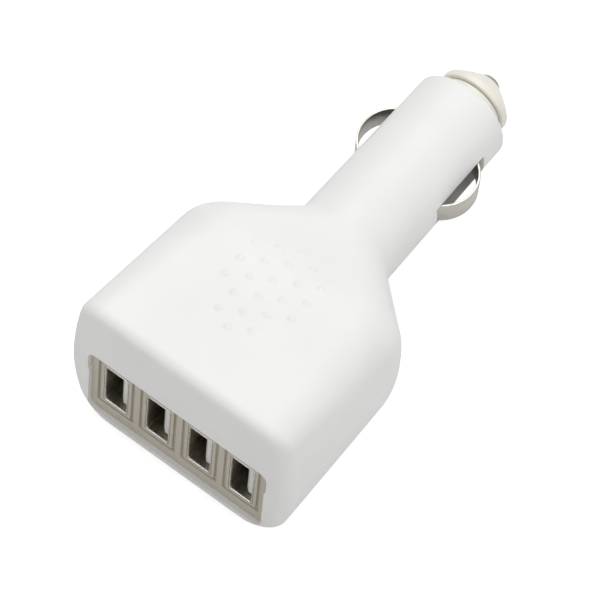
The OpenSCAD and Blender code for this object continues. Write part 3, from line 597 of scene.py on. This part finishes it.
def skin_mesh(rings, up, domes=False):
    """A closed half solid over rings of equal length, given as (y, points)."""
    bm = bmesh.new()
    side = 1 if up else -1
    rows = []
    for y, points in rings:
        row = []
        for x, z in points:
            lift = dot_rise(x, y) if domes and z > 1 else 0.0
            row.append(bm.verts.new(place(x, y, side * (z + lift))))
        rows.append(row)
    close_rows(bm, rows)
    bmesh.ops.remove_doubles(bm, verts=bm.verts, dist=WELD)
    bmesh.ops.dissolve_degenerate(bm, edges=bm.edges, dist=WELD)
    bmesh.ops.recalc_face_normals(bm, faces=bm.faces)
    return bm


def socket_ribs():
    """Two ribs under the top, which hold the sockets down."""
    half, into_wall = PORT_PITCH * 1.5 + USB_W / 2 - RIB_SHORT, 0.4
    return [bevel(box_piece("rib", -half, half, y, y + RIB_T, PORT_HIGH + SLACK,
                            face_h(y, True) - WALL + into_wall), MOULD_EDGE)
            for y in (PANEL_BACK + RIB_FRONT, USB_END - RIB_BACK)]


def board_posts():
    """Four posts on the floor of the lower half, each with a pin through the board."""
    low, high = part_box("circuit_board")
    under = unplace(low)[2]
    half, end, top = unplace(high)
    tails_end = USB_END + 3 * TAIL_PITCH + 2 * TAIL_L
    posts = []
    for x in (-half + POST_R + BOARD_GAP, half - POST_R - BOARD_GAP):
        for y in (USB_END + POST_R + POST_BACK, end - EDGE_SHARE * (end - tails_end)):
            foot = -face_h(y, False) + WALL - 2 * SINK
            pin = upright("pin", PIN_R, x, y, under - SINK, top + PIN_OUT)
            posts += [upright("post", POST_R, x, y, foot, under), bevel(pin, PIN_EDGE)]
    return posts


def hollow_tool(up):
    """All that is taken out of one half: the hollow, the bore, the slots and the window."""
    inner = ([PANEL_BACK, *HOLLOW_STATIONS, TOP_CURVE_Y]
             + steps_between(HEAD_L, HOLLOW_Y, LONG_STEP) + [HOLLOW_Y])
    rings = [(y, half_section(half_w(y) - WALL, face_h(y, up) - WALL, edge_r(y, up) - WALL,
                              side_lean(y, up), INNER_STEPS)) for y in inner]
    mouth_r = BORE_R - MOUTH_STEP
    rings.append((NECK_Y + BITE, half_section(mouth_r, mouth_r, BORE_R, 0, INNER_STEPS)))
    hollow = piece_from(skin_mesh(rings, up), "hollow")
    # its flat side is pushed past the parting plane, so that the cut is clean
    side = 1 if up else -1
    for vertex in hollow.data.vertices:
        if abs(vertex.co.z - HEAD_DOWN * MM) < 1e-6:
            vertex.co.z -= side * BITE * MM
    window = rounded_rect(WINDOW_W + (WINDOW_STEP if up else 0), -WINDOW_DOWN, WINDOW_UP, WINDOW_R)
    seat = rounded_rect(PANEL_W + 2 * SLACK, -WINDOW_DOWN - PANEL_LAP - SLACK,
                        WINDOW_UP + PANEL_LAP + SLACK, WINDOW_R)
    slot_half, slot_x = CLIP_W / 2 + SLOT_SIDE, ROOT_R + BITE
    for tool in (rod("bore", BORE_R, NECK_Y - BITE / 2, THREAD_Y),
                 rod("thread", THREAD_R, THREAD_Y - BITE, NOSE_START + BITE),
                 box_piece("slots", -slot_x, slot_x, SLOT_START, SLOT_END, -slot_half, slot_half),
                 prism("seat", seat, PANEL_SET, PANEL_BACK + BITE),
                 prism("window", window, -BITE, PANEL_SET + BITE)):
        combine(hollow, tool, "UNION")
    return hollow


def fuse_chamber(up):
    """One half of the tube round the fuse, with the web that carries it in the barrel."""
    half = box_piece("half", -HEAD_W, HEAD_W, CHAMBER_Y - BITE, THREAD_Y + BITE,
                     0 if up else -HEAD_W, HEAD_W if up else 0)
    end, reach = THREAD_Y + SINK, BORE_R + 5 * SINK
    chamber = rod("chamber", CHAMBER_R + CHAMBER_WALL, CHAMBER_Y, end, 64)
    web = box_piece("web", -WEB_T / 2, WEB_T / 2, CHAMBER_Y, end, -reach, reach)
    bore = rod("chamber_bore", CHAMBER_R, CHAMBER_Y + CHAMBER_FLOOR, THREAD_Y + BITE, 64)
    combine(chamber, web, "UNION")
    combine(chamber, bore, "DIFFERENCE")
    return combine(chamber, half, "INTERSECT")


def housing_half(up):
    """The upper or lower shell with what is moulded in it."""
    name = "housing_top" if up else "housing_bottom"
    body = piece_from(skin_mesh(head_rings(up), up, domes=up), name + "_shell")
    combine(body, hollow_tool(up), "DIFFERENCE")
    join(body, fuse_chamber(up), *(socket_ribs() if up else board_posts()))
    finish_piece(body, WHITE, "housing", "housing", name, smooth=25)


def fascia():
    """The grey panel with a raised frame and a sunk band round each socket."""
    def openings(grow, y0, y1):
        return [prism("socket", rounded_rect(USB_OUT_W + 2 * grow, PORT_LOW - grow,
                                             PORT_HIGH + grow, SHELL_R, (i - 1.5) * PORT_PITCH),
                      y0, y1) for i in range(4)]

    plate = prism("port_fascia_panel", rounded_rect(PANEL_W, -WINDOW_DOWN - PANEL_LAP,
                                                    WINDOW_UP + PANEL_LAP, WINDOW_R),
                  PANEL_SET, PANEL_BACK)
    for tool in openings(BAND, PANEL_SET - BITE, PANEL_SET + SUNK_D):
        combine(plate, tool, "DIFFERENCE")
    for tool in openings(SLACK + FRAME_W, PANEL_SET, PANEL_BACK - FRAME_BACK):
        combine(plate, tool, "UNION")
    for tool in openings(SLACK, PANEL_SET - BITE, PANEL_BACK + BITE):
        combine(plate, tool, "DIFFERENCE")
    bevel(plate, PANEL_EDGE)
    finish_piece(plate, PANEL, "housing", "fascia", "port_fascia")


# Sockets

def tube_mesh(rings):
    """A closed ring-shaped solid over outlines that go round its wall, as (outline, y)."""
    bm = bmesh.new()
    rows = [[bm.verts.new(place(x, y, z)) for x, z in outline] for outline, y in rings]
    close_rows(bm, rows + rows[:1], ends=False)
    bmesh.ops.recalc_face_normals(bm, faces=bm.faces)
    return bm


def shell(name):
    """The metal shell round one socket's middle: flared lip, spring fingers and board tabs."""
    def outline(d):
        return rounded_rect(USB_OUT_W - 2 * d, PORT_LOW + d, PORT_HIGH - d,
                            SHELL_R - d * (SHELL_R - SHELL_INNER_R) / USB_SHEET, steps=6)

    lip, steps = USB_SHEET / 2, 12
    rings = [(outline(0), USB_END)]
    for k in range(steps + 1):
        a = math.pi * k / steps
        run = lip if 2 * k < steps else LIP_FLARE
        rings.append((outline(lip * (1 - math.cos(a))), USB_Y + run * (1 - math.sin(a))))
    rings.append((outline(USB_SHEET), USB_END))
    obj = piece_from(tube_mesh(rings), name)

    wide, y0, y1 = USB_OUT_W, USB_Y + FINGER_START, USB_Y + FINGER_END
    outer, middle = FINGER_HALF + SLIT, FINGER_HALF + SLIT / 2
    for z in (-PORT_BELOW - USB_H / 4, -PORT_BELOW + USB_H / 4):
        for cut in (box_piece("cut", -wide, wide, y0, y1, z - outer, z - FINGER_HALF),
                    box_piece("cut", -wide, wide, y0, y1, z + FINGER_HALF, z + outer),
                    box_piece("cut", -wide, wide, y1 - SLIT, y1, z - middle, z + middle)):
            combine(obj, cut, "DIFFERENCE")

    under = unplace(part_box("circuit_board")[0])[2]
    x, half = (USB_W + USB_SHEET) / 2, USB_SHEET / 2
    tabs = [box_piece("tab", s * x - half, s * x + half, y, y + TAB_L,
                      under - TAB_DROP, PORT_LOW + TAB_DROP)
            for s in (-1, 1) for y in (USB_Y + TAB_BACK, USB_END - TAB_BACK)]
    return join(obj, *tabs)


def tongue(name):
    """The white tongue that carries the contacts, with a lead-in on their side."""
    x0, y0 = USB_W / 2 - TONGUE_SIDE - TONGUE_T, USB_Y + TONGUE_SET
    half = USB_H / 2 - TONGUE_END
    z0, z1 = -PORT_BELOW - half, -PORT_BELOW + half
    obj = box_piece(name, x0, x0 + TONGUE_T, y0, USB_END - BLOCK_L + SINK, z0, z1)
    lead = box_piece("lead", x0 - BITE, x0, y0 - 2 * BITE, y0 + 2 * BITE, z0 - BITE, z1 + BITE)
    corner = place(x0, y0 + TONGUE_LEAD, 0)
    turn = Matrix.Rotation(math.radians(45), 4, "Z")
    lead.data.transform(Matrix.Translation(corner) @ turn @ Matrix.Translation(-corner))
    return bevel(combine(obj, lead, "DIFFERENCE"), MOULD_EDGE, 3)


def block(name):
    """The block that closes a socket at the back, coloured near black: painted shade deep in the
    socket.
    """
    half_x, half_z = USB_W / 2 - SLACK, USB_H / 2 - SLACK
    return bevel(box_piece(name, -half_x, half_x, USB_END - BLOCK_L, USB_END,
                           -PORT_BELOW - half_z, -PORT_BELOW + half_z), MOULD_EDGE)


def paint_shade_inside(obj, cx):
    """The inner faces of a shell, behind its flared lip, in a darker metal: painted shade inside
    the socket.
    """
    obj.data.materials.append(SOCKET_SHADE)
    reach = 0.02
    for face in obj.data.polygons:
        x, y, z = unplace(face.center)
        inside = abs(x - cx) < USB_W / 2 + reach and abs(z + PORT_BELOW) < USB_H / 2 + reach
        if inside and y > USB_Y + LIP_FLARE:
            face.material_index = 1


def sockets():
    """Shell, tongue and block, made once and copied to the four places."""
    parts = ((shell, SOCKET_STEEL, "socket_steel", "usb_shell_"),
             (tongue, TONGUE, "tongue", "usb_tongue_"),
             (block, BLOCK_SHADE, "black_parts", "usb_tongue_"))
    for build, mat, slot, node in parts:
        first = build("socket")
        for port in range(1, 5):
            cx = (port - 2.5) * PORT_PITCH
            obj = first.copy()
            obj.data = first.data.copy()
            obj.name = f"{build.__name__}_{port}_piece"
            bpy.context.scene.collection.objects.link(obj)
            for vertex in obj.data.vertices:
                vertex.co.x += cx * MM
            finish_piece(obj, mat, "housing", slot, f"{node}{port}")
            # painted shade on the inner walls of each shell
            if build is shell:
                paint_shade_inside(obj, cx)
        bpy.data.objects.remove(first)


# Side clips

CLIP_EDGE = 0.12
BEND_STEPS, BOW_STEPS = 12, 60


def clip_path():
    """Middle line of the strip in plan, as (x, y, turn), from the leg to the bow's free end."""
    points = [(LEG_X, y, 0.0) for y in steps_between(LEG_START, LEG_END, 1.0)]
    for k in range(BEND_STEPS + 1):
        a = BEND_TURN * k / BEND_STEPS
        points.append((LEG_X + CLIP_BEND_R * (1 - math.cos(a)),
                       LEG_END + CLIP_BEND_R * math.sin(a), a))
    for k in range(1, BOW_STEPS + 1):
        a = mix(-BEND_TURN, CLIP_END_TURN, k / BOW_STEPS)
        points.append((BOW_X + BOW_MID_R * math.cos(a), CREST_Y + BOW_MID_R * math.sin(a), -a))
    return points


def clip_section():
    """The strip's section with rounded corners, as (across its thickness, along Z)."""
    half_t, half_z, tuck = CLIP_T / 2, CLIP_W / 2, CLIP_EDGE * 0.3
    section = []
    for sx, sz in ((1, 1), (-1, 1), (-1, -1), (1, -1)):
        corner = [(half_t - CLIP_EDGE, half_z), (half_t - tuck, half_z - tuck),
                  (half_t, half_z - CLIP_EDGE)]
        if sx * sz > 0:
            corner.reverse()
        section += [(sx * u, sz * v) for u, v in corner]
    return section


def clip(side, node, body):
    """A bowed strip, on the right for side 1 and on the left for side -1."""
    bm = bmesh.new()
    rows = []
    for x, y, turn in clip_path():
        rows.append([bm.verts.new(place(side * (x + u * math.cos(turn)), y - u * math.sin(turn), v))
                     for u, v in clip_section()])
    close_rows(bm, rows)
    bmesh.ops.recalc_face_normals(bm, faces=bm.faces)
    strip = piece_from(bm, node + "_strip")
    finish_piece(strip, CLIP_STEEL, body, "clip_steel", node, smooth=40)


# Nose cap, tip and spring

def nose():
    """The nose cap: groove, flange with a rounded rim, slightly swelling cone and front hole."""
    inside, hole, cone_end = COLLAR_R + COLLAR_GAP, TIP_R + SLIDE_GAP, TIP_R + NOSE_LIP
    front_edge = [(cone_end, NOSE_END - 0.15), (cone_end - 0.12, NOSE_END - 0.04),
                  (cone_end - 0.3, NOSE_END)]
    under, over, over_turn, steps = 0.25, 0.7, math.radians(60), 8
    stem_r, stem_bevel, hole_bevel = THREAD_R - SLACK, (0.4, 0.5), 0.15
    undercut_y, undercut_r = FLANGE_Y - UNDERCUT_W, GROOVE_R - UNDERCUT_D
    profile = [(inside, THREAD_Y), (stem_r - stem_bevel[0], THREAD_Y),
               (stem_r, THREAD_Y + stem_bevel[1]), (stem_r, NOSE_START), (GROOVE_R, NOSE_START),
               (GROOVE_R, undercut_y), (undercut_r, undercut_y), (undercut_r, FLANGE_Y)]
    for k in range(steps + 1):
        a = math.pi / 2 * k / steps
        profile.append((FLANGE_R - under * (1 - math.sin(a)), FLANGE_Y + under * (1 - math.cos(a))))
    for k in range(steps + 1):
        a = over_turn * k / steps
        profile.append((FLANGE_R - over * (1 - math.cos(a)), CONE_Y - over * (1 - math.sin(a))))
    # the cone is a curve from the rim, through a middle point that swells a little, to the front
    start, end = Vector(profile[-1]), Vector(front_edge[0])
    swell_r, swell_y, cone_steps = 0.75, 0.45, 12
    middle = Vector((swell_r * FLANGE_R, CONE_Y + swell_y * CONE_L))
    pull = 2 * middle - (start + end) / 2
    for k in range(1, cone_steps + 1):
        t = k / cone_steps
        q = (1 - t) ** 2 * start + 2 * t * (1 - t) * pull + t ** 2 * end
        profile.append((q.x, q.y))
    profile += front_edge[1:] + [(hole + hole_bevel, NOSE_END), (hole, NOSE_END - hole_bevel),
                                 (hole, COLLAR_FRONT), (inside, COLLAR_FRONT)]
    finish_piece(lathe("nose_cap_turned", profile), CREAM, "housing", "nose", "nose_cap")


def tip():
    """The tip contact: collar, pin and dome."""
    bevel_r = 0.1
    profile = [(0, FUSE_END), (COLLAR_R - bevel_r, FUSE_END), (COLLAR_R, FUSE_END + bevel_r),
               (COLLAR_R, COLLAR_FRONT - bevel_r), (COLLAR_R - bevel_r, COLLAR_FRONT),
               (TIP_R, COLLAR_FRONT)]
    dome_l, fullness, steps = 1.6, 0.8, 14
    for k in range(steps):
        a = math.pi / 2 * k / steps
        profile.append((TIP_R * math.cos(a) ** fullness, OVERALL_L - dome_l * (1 - math.sin(a))))
    profile.append((0, OVERALL_L))
    turned = lathe("tip_contact_turned", profile, 96)
    finish_piece(turned, TIP_STEEL, "tip", "tip_metal", "tip_contact")


def spring():
    """The wire of the contact spring, at one length, though the spring shortens as the tip is
    pressed in.
    """
    bm = bmesh.new()
    turn_steps, sides = 32, 10
    length = FUSE_END - FUSE_L - SPRING_Y
    run = length - 2 * SPRING_WIRE - 2 * SLIDE_GAP
    total = SPRING_TURNS * turn_steps
    rows = []
    for i in range(total + 1):
        a = 2 * math.pi * i / turn_steps
        y = SPRING_Y + SPRING_WIRE + SLIDE_GAP + run * i / total
        row = []
        for k in range(sides):
            b = 2 * math.pi * k / sides
            q = SPRING_R + SPRING_WIRE * math.cos(b)
            row.append(bm.verts.new(place(q * math.cos(a), y + SPRING_WIRE * math.sin(b),
                                          q * math.sin(a))))
        rows.append(row)
    close_rows(bm, rows)
    bmesh.ops.recalc_face_normals(bm, faces=bm.faces)
    obj = finish_piece(piece_from(bm, "contact_spring_wire"), SPRING, "housing", "spring_steel",
                       "contact_spring", smooth=60)
    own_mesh(obj)


housing_half(True)
housing_half(False)
fascia()
sockets()
clip(1, "clip_right", "clip_r")
clip(-1, "clip_left", "clip_l")
nose()
tip()
spring()

# Camera at the photograph's viewing angle

CAMERA_AT = Vector((0.23746, -0.396126, 0.804673))
AZIMUTH, ELEVATION, ROLL = (math.radians(a) for a in (31.7209, 60.2375, 6.6863))
LENS, SENSOR_W = 279.4, 36


def add_camera():
    """The camera, turned to the fitted angles."""
    data = bpy.data.cameras.new("camera")
    data.lens = LENS
    data.sensor_width = SENSOR_W
    data.clip_end = 10
    obj = bpy.data.objects.new("camera", data)
    bpy.context.scene.collection.objects.link(obj)
    right = Vector((math.cos(AZIMUTH), math.sin(AZIMUTH), 0))
    back = Vector((math.sin(AZIMUTH) * math.cos(ELEVATION),
                   -math.cos(AZIMUTH) * math.cos(ELEVATION), math.sin(ELEVATION)))
    up = back.cross(right)
    view_x = math.cos(ROLL) * right + math.sin(ROLL) * up
    view_y = math.cos(ROLL) * up - math.sin(ROLL) * right
    turn = Matrix((view_x, view_y, back)).transposed().to_4x4()
    obj.matrix_world = Matrix.Translation(CAMERA_AT) @ turn
    bpy.context.scene.camera = obj


add_camera()

# Floor, lamps and world

FLOOR_HALF, FLOOR_TONE, FLOOR_ROUGH, FLOOR_GLOW = 3.0, 0.8, 0.9, 0.6
FLOOR_DROP = 0.02 * MM                  # keeps the floor clear of the flat underside
WORLD_LEVEL, DIM_LEVEL = 0.6, 0.15      # the world's level, and its level low on the left
DIM_FROM, DIM_TO = -1.0, -0.4           # X of the directions between which it rises


def floor_material():
    """White to the camera, with the object's soft shadow kept; plain pale to the light."""
    mat = bpy.data.materials.new("floor")
    mat.use_nodes = True
    nodes, links = mat.node_tree.nodes, mat.node_tree.links
    shader = nodes["Principled BSDF"]
    shader.inputs["Base Color"].default_value = (FLOOR_TONE, FLOOR_TONE, FLOOR_TONE, 1)
    shader.inputs["Roughness"].default_value = FLOOR_ROUGH
    shader.inputs["Emission Color"].default_value = (1, 1, 1, 1)
    path = nodes.new("ShaderNodeLightPath")
    seen = nodes.new("ShaderNodeMath")
    seen.operation = "MAXIMUM"
    glow = nodes.new("ShaderNodeMath")
    glow.operation = "MULTIPLY"
    glow.inputs[1].default_value = FLOOR_GLOW
    links.new(path.outputs["Is Camera Ray"], seen.inputs[0])
    links.new(path.outputs["Is Transmission Ray"], seen.inputs[1])
    links.new(seen.outputs["Value"], glow.inputs[0])
    links.new(glow.outputs["Value"], shader.inputs["Emission Strength"])
    return mat


def add_floor():
    """A wide floor that the plug lies on."""
    mesh = bpy.data.meshes.new("floor")
    corners = [(sx * FLOOR_HALF, sy * FLOOR_HALF, 0)
               for sx, sy in ((-1, -1), (1, -1), (1, 1), (-1, 1))]
    mesh.from_pydata(corners, [], [(0, 1, 2, 3)])
    mesh.materials.append(floor_material())
    floor = bpy.data.objects.new("floor", mesh)
    floor.location.z = -FLOOR_DROP
    bpy.context.scene.collection.objects.link(floor)


def add_lamp(name, at, size, power, target=(0, 0, 0.02)):
    """A round lamp that faces a target."""
    data = bpy.data.lights.new(name, "AREA")
    data.energy = power
    data.shape = "DISK"
    data.size = size
    light = bpy.data.objects.new(name, data)
    light.location = at
    light.rotation_euler = (Vector(target) - Vector(at)).to_track_quat("-Z", "Y").to_euler()
    bpy.context.scene.collection.objects.link(light)


def add_world():
    """White to the camera; to the light an even sky that is dimmer low on the left."""
    sky = bpy.data.worlds.new("world")
    sky.use_nodes = True
    nodes, links = sky.node_tree.nodes, sky.node_tree.links
    background = nodes["Background"]
    background.inputs["Color"].default_value = (1, 1, 1, 1)
    rays = nodes.new("ShaderNodeLightPath")
    direction = nodes.new("ShaderNodeTexCoord")
    parts = nodes.new("ShaderNodeSeparateXYZ")
    dim = nodes.new("ShaderNodeMapRange")
    for socket, value in (("From Min", DIM_FROM), ("From Max", DIM_TO),
                          ("To Min", DIM_LEVEL), ("To Max", WORLD_LEVEL)):
        dim.inputs[socket].default_value = value
    level = nodes.new("ShaderNodeMapRange")
    level.inputs["To Max"].default_value = 1.0
    links.new(direction.outputs["Generated"], parts.inputs["Vector"])
    links.new(parts.outputs["X"], dim.inputs["Value"])
    links.new(dim.outputs["Result"], level.inputs["To Min"])
    links.new(rays.outputs["Is Camera Ray"], level.inputs["Value"])
    links.new(level.outputs["Result"], background.inputs["Strength"])
    bpy.context.scene.world = sky


add_floor()
add_lamp("key", (-0.25, 0.25, 0.9), 0.7, 4.3)
add_lamp("fill", (0.9, 0.1, 0.45), 0.6, 0.75)
add_lamp("glint", (-0.24, -0.54, 0.8), 0.24, 0.35)
add_world()
bpy.context.scene.view_settings.view_transform = "Standard"
